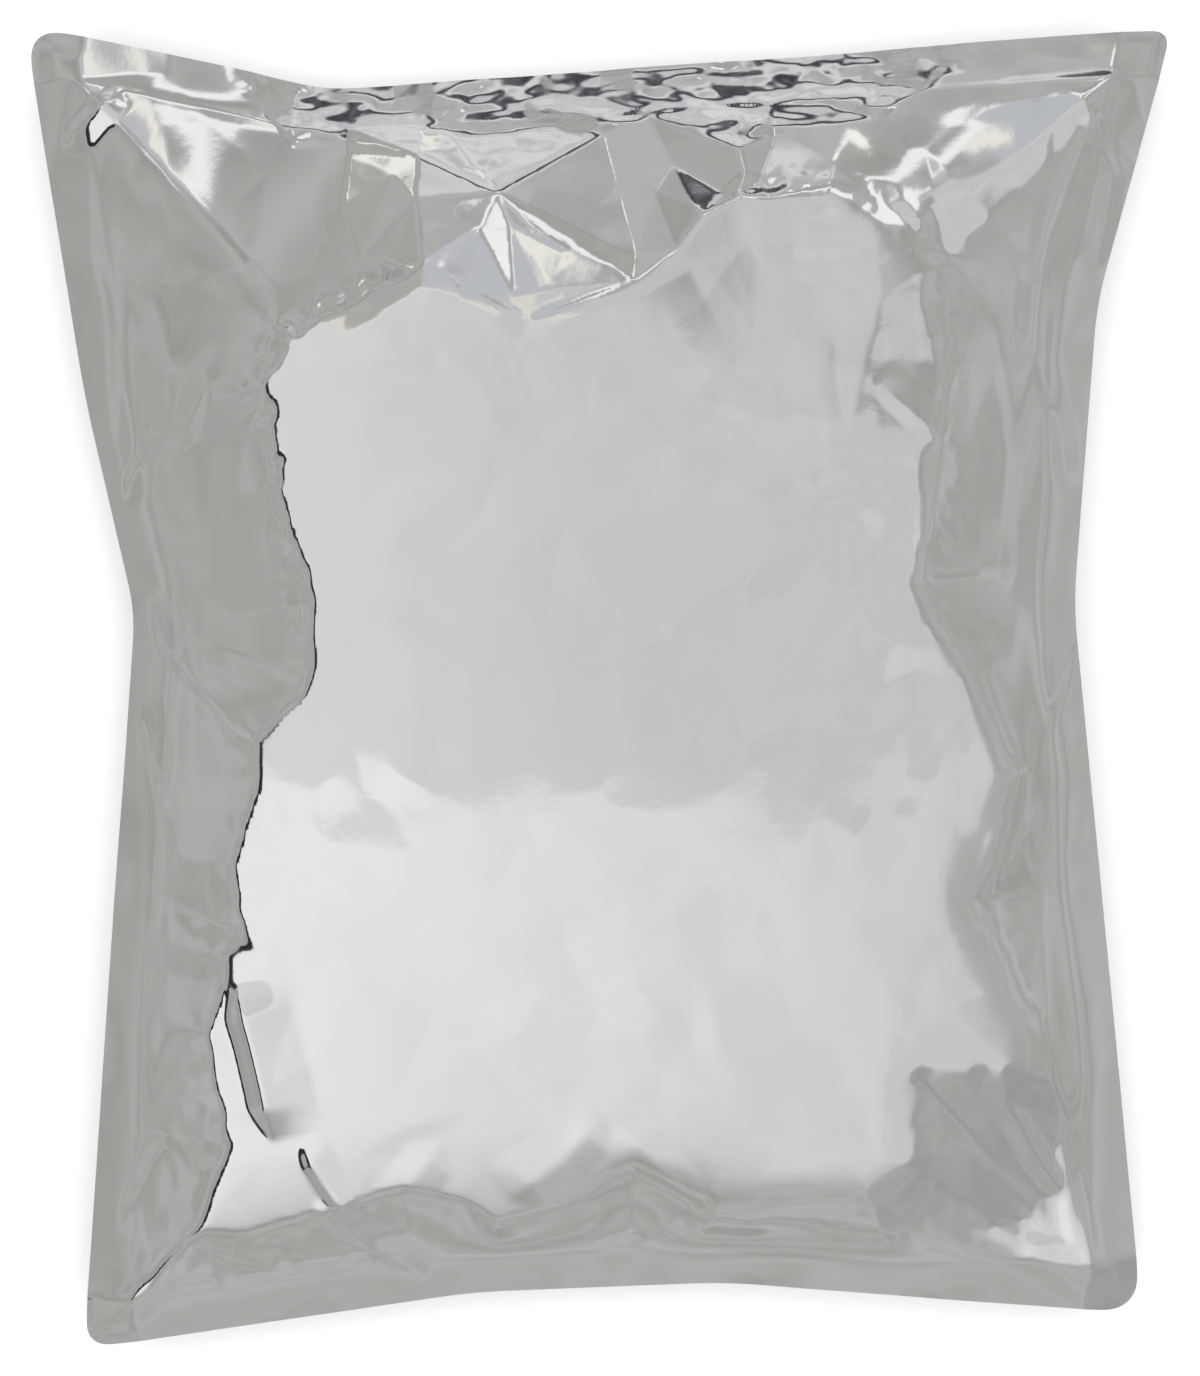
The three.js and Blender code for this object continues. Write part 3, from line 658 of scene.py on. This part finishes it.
def rim_strip(upper, lower):
    """Triangles between the border of the front film and the coarser border of the back film."""
    faces = []
    for place, (here, after) in enumerate(zip(lower, np.roll(lower, -1))):
        fan = [upper[(BACK_SHARE * place + step) % len(upper)] for step in range(BACK_SHARE + 1)]
        faces += [[second, first, here] for first, second in zip(fan, fan[1:])]
        faces.append([fan[-1], here, after])
    return faces


def centred(points):
    """The points moved in X and Y so that the middle of their box lies over the origin."""
    flat = points[:, :2]
    middle = (flat.min(axis=0) + flat.max(axis=0)) / 2
    return np.column_stack([flat - middle, points[:, 2]])


def sharpen_rims(mesh, upper, lower):
    """Mark the edges along both borders as sharp."""
    on_rim = np.zeros(len(mesh.vertices), int)
    on_rim[upper] = UPPER_RIM
    on_rim[lower] = LOWER_RIM
    ends = np.empty(2 * len(mesh.edges), int)
    mesh.edges.foreach_get("vertices", ends)
    first, second = on_rim[ends.reshape(-1, 2)].T
    sharp = mesh.attributes.new("sharp_edge", "BOOLEAN", "EDGE")
    sharp.data.foreach_set("value", (first == second) & (first > 0))


def film_mesh(name):
    """Front and back film as one closed skin, joined by a narrow strip round the seal."""
    front_places, faces, upper = front_plan()
    front = np.column_stack([front_places, front_height(*front_places.T)])
    back_places = film_grid()[::BACK_SHARE, ::BACK_SHARE]
    back = np.dstack([back_places, back_height(back_places[..., 0], back_places[..., 1])]).reshape(-1, 3)
    back_numbers = numbered(back_places, len(front))
    lower = rim(back_numbers)
    faces = faces + np.stack(cells(back_numbers), -1).reshape(-1, 4)[:, ::-1].tolist()
    faces = faces + rim_strip(upper, lower)
    mesh = bpy.data.meshes.new(name)
    mesh.from_pydata((centred(np.concatenate([front, back])) * MM).tolist(), [], faces)
    mesh.polygons.foreach_set("use_smooth", [True] * len(mesh.polygons))
    mesh.update()
    sharpen_rims(mesh, upper, lower)
    return mesh


# Shader nodes --------------------------------------------------------------------------------------------

MIX_SHARE, MIX_FIRST, MIX_SECOND = 0, 6, 7  # numbers of a Mix node's sockets, when it mixes colours
MIX_RESULT = 2


class Wire:
    """One output of a node. Arithmetic on it adds Math nodes to its tree."""

    def __init__(self, tree, socket):
        self.tree = tree
        self.socket = socket

    def math(self, operation, first, second):
        return add_node(self.tree, "ShaderNodeMath", {"operation": operation}, {0: first, 1: second})

    def __add__(self, other):
        return self.math("ADD", self, other)

    def __radd__(self, other):
        return self.math("ADD", other, self)

    def __sub__(self, other):
        return self.math("SUBTRACT", self, other)

    def __rsub__(self, other):
        return self.math("SUBTRACT", other, self)

    def __mul__(self, other):
        return self.math("MULTIPLY", self, other)

    def __rmul__(self, other):
        return self.math("MULTIPLY", other, self)

    def step(self, low, high):
        """0 below low, 1 above high, and smooth between."""
        return add_node(self.tree, "ShaderNodeMapRange", {"interpolation_type": "SMOOTHSTEP"},
                        {"Value": self, "From Min": low, "From Max": high})

    def band(self, low, high, soft=0.01):
        """1 between low and high, 0 outside, and smooth over the soft width to either side of each."""
        return self.step(low - soft, low + soft) * (1 - self.step(high - soft, high + soft))

    def feed(self, node, name):
        self.tree.links.new(self.socket, node.inputs[name])


def add_node(tree, kind, settings=None, sockets=None, output=0):
    """Add a node, with its settings first and then the values or wires of its sockets."""
    node = tree.nodes.new(kind)
    for name, value in (settings or {}).items():
        setattr(node, name, value)
    for name, value in (sockets or {}).items():
        if isinstance(value, Wire):
            value.feed(node, name)
        else:
            node.inputs[name].default_value = value
    return Wire(tree, node.outputs[output])


def mix_colours(tree, share, first, second):
    """Mix two colours, each of them a wire or three numbers."""
    first, second = (colour if isinstance(colour, Wire) else (*colour, 1) for colour in (first, second))
    return add_node(tree, "ShaderNodeMix", {"data_type": "RGBA"},
                    {MIX_SHARE: share, MIX_FIRST: first, MIX_SECOND: second}, output=MIX_RESULT)


def add_noise(tree, place, scale, detail, output=0):
    sockets = {"Vector": place, "Scale": scale, "Detail": detail}
    return add_node(tree, "ShaderNodeTexNoise", {}, sockets, output)


def new_material(name):
    """A material, its node tree, its shader, and the place on the object."""
    material = bpy.data.materials.new(name)
    material.use_nodes = True
    tree = material.node_tree
    shader = next(node for node in tree.nodes if node.type == "BSDF_PRINCIPLED")
    return material, tree, shader, add_node(tree, "ShaderNodeTexCoord", output="Object")


FOIL_TONES = (0.88, 0.88, 0.875), (0.93, 0.93, 0.93)
FOIL_ROUGHNESS = 0.06  # where it is clearest
HAZE_ROUGHNESS = 0.05  # and how much more where it is haziest
HAZE_SCALE = 60.0  # patches of haze to a metre
GRAIN_SCALE = 900.0  # grains to a metre
GRAIN_STRENGTH = 0.03
GRAIN_DEPTH = 0.0002  # metres


def foil_material():
    """Bright metal film with a faint haze and a fine grain."""
    material, tree, shader, place = new_material("silver_film")
    shader.inputs["Metallic"].default_value = 1.0
    haze = add_noise(tree, place, HAZE_SCALE, detail=3.0)
    grain = add_noise(tree, place, GRAIN_SCALE, detail=2.0)
    mix_colours(tree, haze, *FOIL_TONES).feed(shader, "Base Color")
    (FOIL_ROUGHNESS + HAZE_ROUGHNESS * haze).feed(shader, "Roughness")
    bump = add_node(tree, "ShaderNodeBump", {},
                    {"Height": grain, "Strength": GRAIN_STRENGTH, "Distance": GRAIN_DEPTH})
    bump.feed(shader, "Normal")
    return material


# Camera --------------------------------------------------------------------------------------------------

PHOTO_SIZE = (1200, 1376)
PHOTO_SCALE = 0.144  # mm to a pixel at the height of the seal
PHOTO_MIDDLE_Y = 687.5  # pixel row of the middle of the pouch
CAMERA_DISTANCE = 900.0
SENSOR_HEIGHT = 36
CLIP_END = 20  # metres


def add_camera():
    """A camera straight above the pouch, framed as the photograph is."""
    data = bpy.data.cameras.new("camera")
    camera = bpy.data.objects.new("camera", data)
    bpy.context.scene.collection.objects.link(camera)
    shown = PHOTO_SIZE[1] * PHOTO_SCALE
    data.sensor_fit = "VERTICAL"
    data.sensor_height = SENSOR_HEIGHT
    data.lens = SENSOR_HEIGHT * CAMERA_DISTANCE / shown
    data.clip_end = CLIP_END
    off_middle = (PHOTO_MIDDLE_Y - PHOTO_SIZE[1] / 2) * PHOTO_SCALE
    camera.location = (0, off_middle * MM, (SEAL_HEIGHT + CAMERA_DISTANCE) * MM)
    bpy.context.scene.camera = camera


# Room ----------------------------------------------------------------------------------------------------

# The film mirrors the room, so each part of the room is placed by the direction in which it is seen, given
# as X, Y and Z of a line of length 1. A range has its low end and its high end, and sometimes the softness
# of both.
WALL_TONES = (0.34, 0.336, 0.325), (0.49, 0.486, 0.476)
CLOUD_SCALE, CLOUD_STRETCH, CLOUD_STRENGTH = 3.4, (1.0, 1.0, 1.6), 1.6
PATCH_SCALE, PATCH_STRENGTH, PATCH_ON_BOXES = 3.2, 0.4, 0.3
PATCH_BEND_SCALE, PATCH_BEND = 2.0, (0.35, 0.35, 0.35)  # the borders of the patches aren't straight
OVERHEAD = (0.0, 0.15)  # z over which what hangs overhead begins

SIDE_WALL = {"x": (0.45, 2.0, 0.1)}
SIDE_WALL_END = (-0.55, -0.35)  # y over which it ends
SIDE_WALL_STRENGTH = 0.6
SIDE_WALL_TONE = (0.33, 0.335, 0.36)

GAP_BESIDE_BOXES = {"x": (-0.60, -0.42), "y": (-0.70, 0.10)}
GAP_TONE = (0.02, 0.022, 0.025)
UPPER_BOX = {"x": (-0.42, 0.54, 0.012), "y": (-0.25, 0.42)}
UPPER_BOX_END = {"x": (0.02, 0.36, 0.04), "y": (0.42, 0.60, 0.03)}
UPPER_TONES = (0.72, 0.73, 0.745), (0.57, 0.575, 0.575)  # at its left and at its right
UPPER_FADE = (-0.35, 0.3)  # x over which one turns into the other
DIMPLE_SCALE, DIMPLE_STRETCH, DIMPLE_STRENGTH = 9.0, (1.0, 1.0, 0.0), 1.5
DIMPLED = (0.0, 0.3)  # x over which dimples in its tone grow
LOWER_BOX_LEFT = (-0.432, -0.408)  # x over which it begins
LOWER_BOX_RIGHT = (0.42, 0.62)  # x over which it ends
LOWER_BOX_FOOT = (-0.80, -0.50)  # y over which it begins
LOWER_TONES = (0.90, 0.90, 0.895), (0.62, 0.62, 0.615)  # at its left and at its right
LOWER_FADE = (-0.35, 0.5)  # x over which one turns into the other
SPLIT = 0.17  # how far below y 0 the boxes meet in the middle
SPLIT_BOW = 0.8  # to either side they meet higher, by this times x squared
SPLIT_EDGE = (-0.006, 0.006)  # y over which one gives way to the other
CORNER_CUT = (0.94, 0.97)  # x less y over which the lower box's lower right corner is cut off

WALL_STRIPS = {  # beyond the top end: ranges and tone of each, laid on in this order
    "blue strip": ({"x": (-0.12, 0.15, 0.03), "y": (0.42, 0.80)}, (0.52, 0.535, 0.57)),
    "cream strip": ({"x": (-0.3, 0.15, 0.03), "y": (0.42, 0.455)}, (0.80, 0.77, 0.68)),
    "white strip": ({"x": (-0.03, 0.30), "y": (0.78, 0.83)}, (0.95, 0.95, 0.95)),
}

FAR_START = (0.45, 0.55)  # y over which the far end of the room begins
FAR_WIDTH = {"x": (-0.18, 0.30, 0.05)}
WINDOW_TOP = (0.15, 0.23)  # z over which the window band ends
WINDOW_TONES = (0.50, 0.51, 0.52), (0.72, 0.73, 0.74)
DARK_FLOOR = {"z": (-0.10, 0.05, 0.03)}
DARK_FLOOR_TONES = (0.03, 0.033, 0.04), (0.14, 0.145, 0.16)
STREAK_SCALE, STREAK_STRETCH, STREAK_EDGE = 3.0, (2.0, 1.0, 5.0), (0.35, 0.65)
FAR_LAMP = {"x": (0.10, 0.17)}, {"z": (0.27, 0.40)}
FAR_LAMP_TONE = (1.0, 1.0, 0.98)

LAMPS = {  # ranges and tone of each, laid on in this order
    "white lamp": ({"x": (0.28, 0.48), "y": (0.63, 0.76)}, (0.95, 0.95, 0.95)),
    "warm lamp": ({"x": (0.055, 0.12, 0.015), "y": (0.69, 0.78)}, (0.90, 0.88, 0.80)),
    "low lamp": ({"x": (-0.64, -0.57), "y": (0.76, 0.82), "z": (-0.125, -0.045)}, (0.95, 0.94, 0.90)),
}
BACKDROP_TONE = (0.9, 0.9, 0.9)


class Room:
    """The colour of the room in each direction, with one part of it laid over another."""

    def __init__(self, tree):
        self.tree = tree
        self.way = add_node(tree, "ShaderNodeTexCoord", output="Generated")
        self.axes = {name: add_node(tree, "ShaderNodeSeparateXYZ", {}, {0: self.way}, name.upper())
                     for name in "xyz"}
        self.overhead = self.axes["z"].step(*OVERHEAD)
        self.patches = self.bent_patches()
        clouds = self.noise(CLOUD_SCALE, CLOUD_STRETCH, detail=1.0) - 0.5
        self.colour = mix_colours(
            tree, 0.5 + CLOUD_STRENGTH * clouds + PATCH_STRENGTH * self.patches, *WALL_TONES)

    def noise(self, scale, stretch, detail):
        stretched = add_node(self.tree, "ShaderNodeVectorMath", {"operation": "MULTIPLY"},
                             {0: self.way, 1: stretch})
        return add_noise(self.tree, stretched, scale, detail)

    def bent_patches(self):
        """Broad patches with a number from -0.5 to 0.5 each, as walls, doors and curtains make."""
        bend = add_noise(self.tree, self.way, PATCH_BEND_SCALE, 1.0, output="Color")
        bent = add_node(self.tree, "ShaderNodeVectorMath", {"operation": "MULTIPLY_ADD"},
                        {0: bend, 1: PATCH_BEND, 2: self.way})
        colour = add_node(self.tree, "ShaderNodeTexVoronoi", {},
                          {"Vector": bent, "Scale": PATCH_SCALE}, "Color")
        return add_node(self.tree, "ShaderNodeSeparateColor", {}, {0: colour}) - 0.5

    def part(self, ranges):
        """1 in the directions that lie within the ranges, 0 in the others."""
        return reduce(mul, [self.axes[name].band(*limits) for name, limits in ranges.items()])

    def mix(self, share, tones):
        return mix_colours(self.tree, share, *tones)

    def lay(self, share, colour):
        """Lay a colour over the room, in full where the share is 1."""
        self.colour = mix_colours(self.tree, share, self.colour, colour)

    def lay_each(self, parts):
        for ranges, tone in parts.values():
            self.lay(self.part(ranges), tone)


def lay_side_wall(room):
    share = room.part(SIDE_WALL) * (1 - room.axes["y"].step(*SIDE_WALL_END)) * SIDE_WALL_STRENGTH
    room.lay(share, SIDE_WALL_TONE)


def lay_boxes(room):
    """Two large soft boxes overhead that meet at a bowed split, with a dark gap on their left."""
    x, y = room.axes["x"], room.axes["y"]
    dimples = room.noise(DIMPLE_SCALE, DIMPLE_STRETCH, detail=1.0) - 0.5
    upper_share = (x.step(*UPPER_FADE) + PATCH_ON_BOXES * room.patches
                   + DIMPLE_STRENGTH * dimples * x.step(*DIMPLED))
    upper_tone = room.mix(upper_share, UPPER_TONES)
    lower_tone = room.mix(x.step(*LOWER_FADE) + PATCH_ON_BOXES * room.patches, LOWER_TONES)
    room.lay(room.part(GAP_BESIDE_BOXES) * room.overhead, GAP_TONE)
    room.lay(room.part(UPPER_BOX) * room.overhead, upper_tone)
    room.lay(room.part(UPPER_BOX_END) * room.overhead, upper_tone)
    below_split = 1 - (y + SPLIT - SPLIT_BOW * x * x).step(*SPLIT_EDGE)
    width = x.step(*LOWER_BOX_LEFT) * (1 - x.step(*LOWER_BOX_RIGHT))
    uncut = 1 - (x - y).step(*CORNER_CUT)
    room.lay(width * y.step(*LOWER_BOX_FOOT) * below_split * uncut * room.overhead, lower_tone)


def lay_far_end(room):
    """A bright window band over a dark floor, and a lamp, beyond the top end of the pouch."""
    far = room.axes["y"].step(*FAR_START) * room.part(FAR_WIDTH)
    streaks = room.noise(STREAK_SCALE, STREAK_STRETCH, detail=2.0).step(*STREAK_EDGE)
    room.lay(far * (1 - room.axes["z"].step(*WINDOW_TOP)), room.mix(streaks, WINDOW_TONES))
    room.lay(far * room.part(DARK_FLOOR), room.mix(streaks, DARK_FLOOR_TONES))
    across, up = FAR_LAMP
    room.lay(far * room.part(across) * room.part(up), FAR_LAMP_TONE)


def light_the_room():
    """A grey room with two large soft boxes overhead and a window band over a dark floor at the far end."""
    world = bpy.data.worlds.new("studio")
    bpy.context.scene.world = world
    world.use_nodes = True
    room = Room(world.node_tree)
    lay_side_wall(room)
    lay_boxes(room)
    room.lay_each(WALL_STRIPS)
    lay_far_end(room)
    room.lay_each(LAMPS)
    seen_directly = add_node(room.tree, "ShaderNodeLightPath", output="Is Camera Ray")
    room.lay(seen_directly, BACKDROP_TONE)
    background = next(node for node in room.tree.nodes if node.type == "BACKGROUND")
    room.colour.feed(background, "Color")


# Floor ---------------------------------------------------------------------------------------------------

LAMP_SIZE = 2.4  # metres
LAMP_HEIGHT = 1.6  # metres
LAMP_POWER = 42  # watts
FLOOR_HALF = 3.0  # metres from its middle to each side
FLOOR_LEVEL = -0.0001  # metres, just clear of the pouch
FLOOR_TONES = (0.93, 0.93, 0.93), (0.95, 0.95, 0.95)
FLOOR_GRAIN_SCALE = 30.0
FLOOR_ROUGHNESS = 0.9
FLOOR_GLOSS = 0.1


def light_the_floor():
    """A wide lamp above, which the film doesn't mirror."""
    data = bpy.data.lights.new("ceiling_lamp", "AREA")
    data.shape = "SQUARE"
    data.size = LAMP_SIZE
    data.energy = LAMP_POWER
    lamp = bpy.data.objects.new("ceiling_lamp", data)
    lamp.location = (0, 0, LAMP_HEIGHT)
    lamp.visible_glossy = False
    bpy.context.scene.collection.objects.link(lamp)


def floor_material():
    material, tree, shader, place = new_material("pale_floor")
    shader.inputs["Roughness"].default_value = FLOOR_ROUGHNESS
    shader.inputs["Specular IOR Level"].default_value = FLOOR_GLOSS
    grain = add_noise(tree, place, FLOOR_GRAIN_SCALE, detail=2.0)
    mix_colours(tree, grain, *FLOOR_TONES).feed(shader, "Base Color")
    return material


def add_floor():
    corners = [(-1, -1), (1, -1), (1, 1), (-1, 1)]
    mesh = bpy.data.meshes.new("floor")
    mesh.from_pydata([(x * FLOOR_HALF, y * FLOOR_HALF, 0) for x, y in corners], [], [(0, 1, 2, 3)])
    mesh.materials.append(floor_material())
    floor = bpy.data.objects.new("floor", mesh)
    floor.location.z = FLOOR_LEVEL
    floor.visible_glossy = False
    bpy.context.scene.collection.objects.link(floor)


# The scene -----------------------------------------------------------------------------------------------

def add_pouch():
    pouch = bpy.data.objects.new("foil_pouch", film_mesh("foil_pouch"))
    bpy.context.scene.collection.objects.link(pouch)
    pouch.data.materials.append(foil_material())
    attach(pouch, "root")
    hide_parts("pouch")


def main():
    bpy.context.scene.view_settings.view_transform = "Standard"
    add_camera()
    light_the_room()
    light_the_floor()
    add_floor()
    add_pouch()


main()
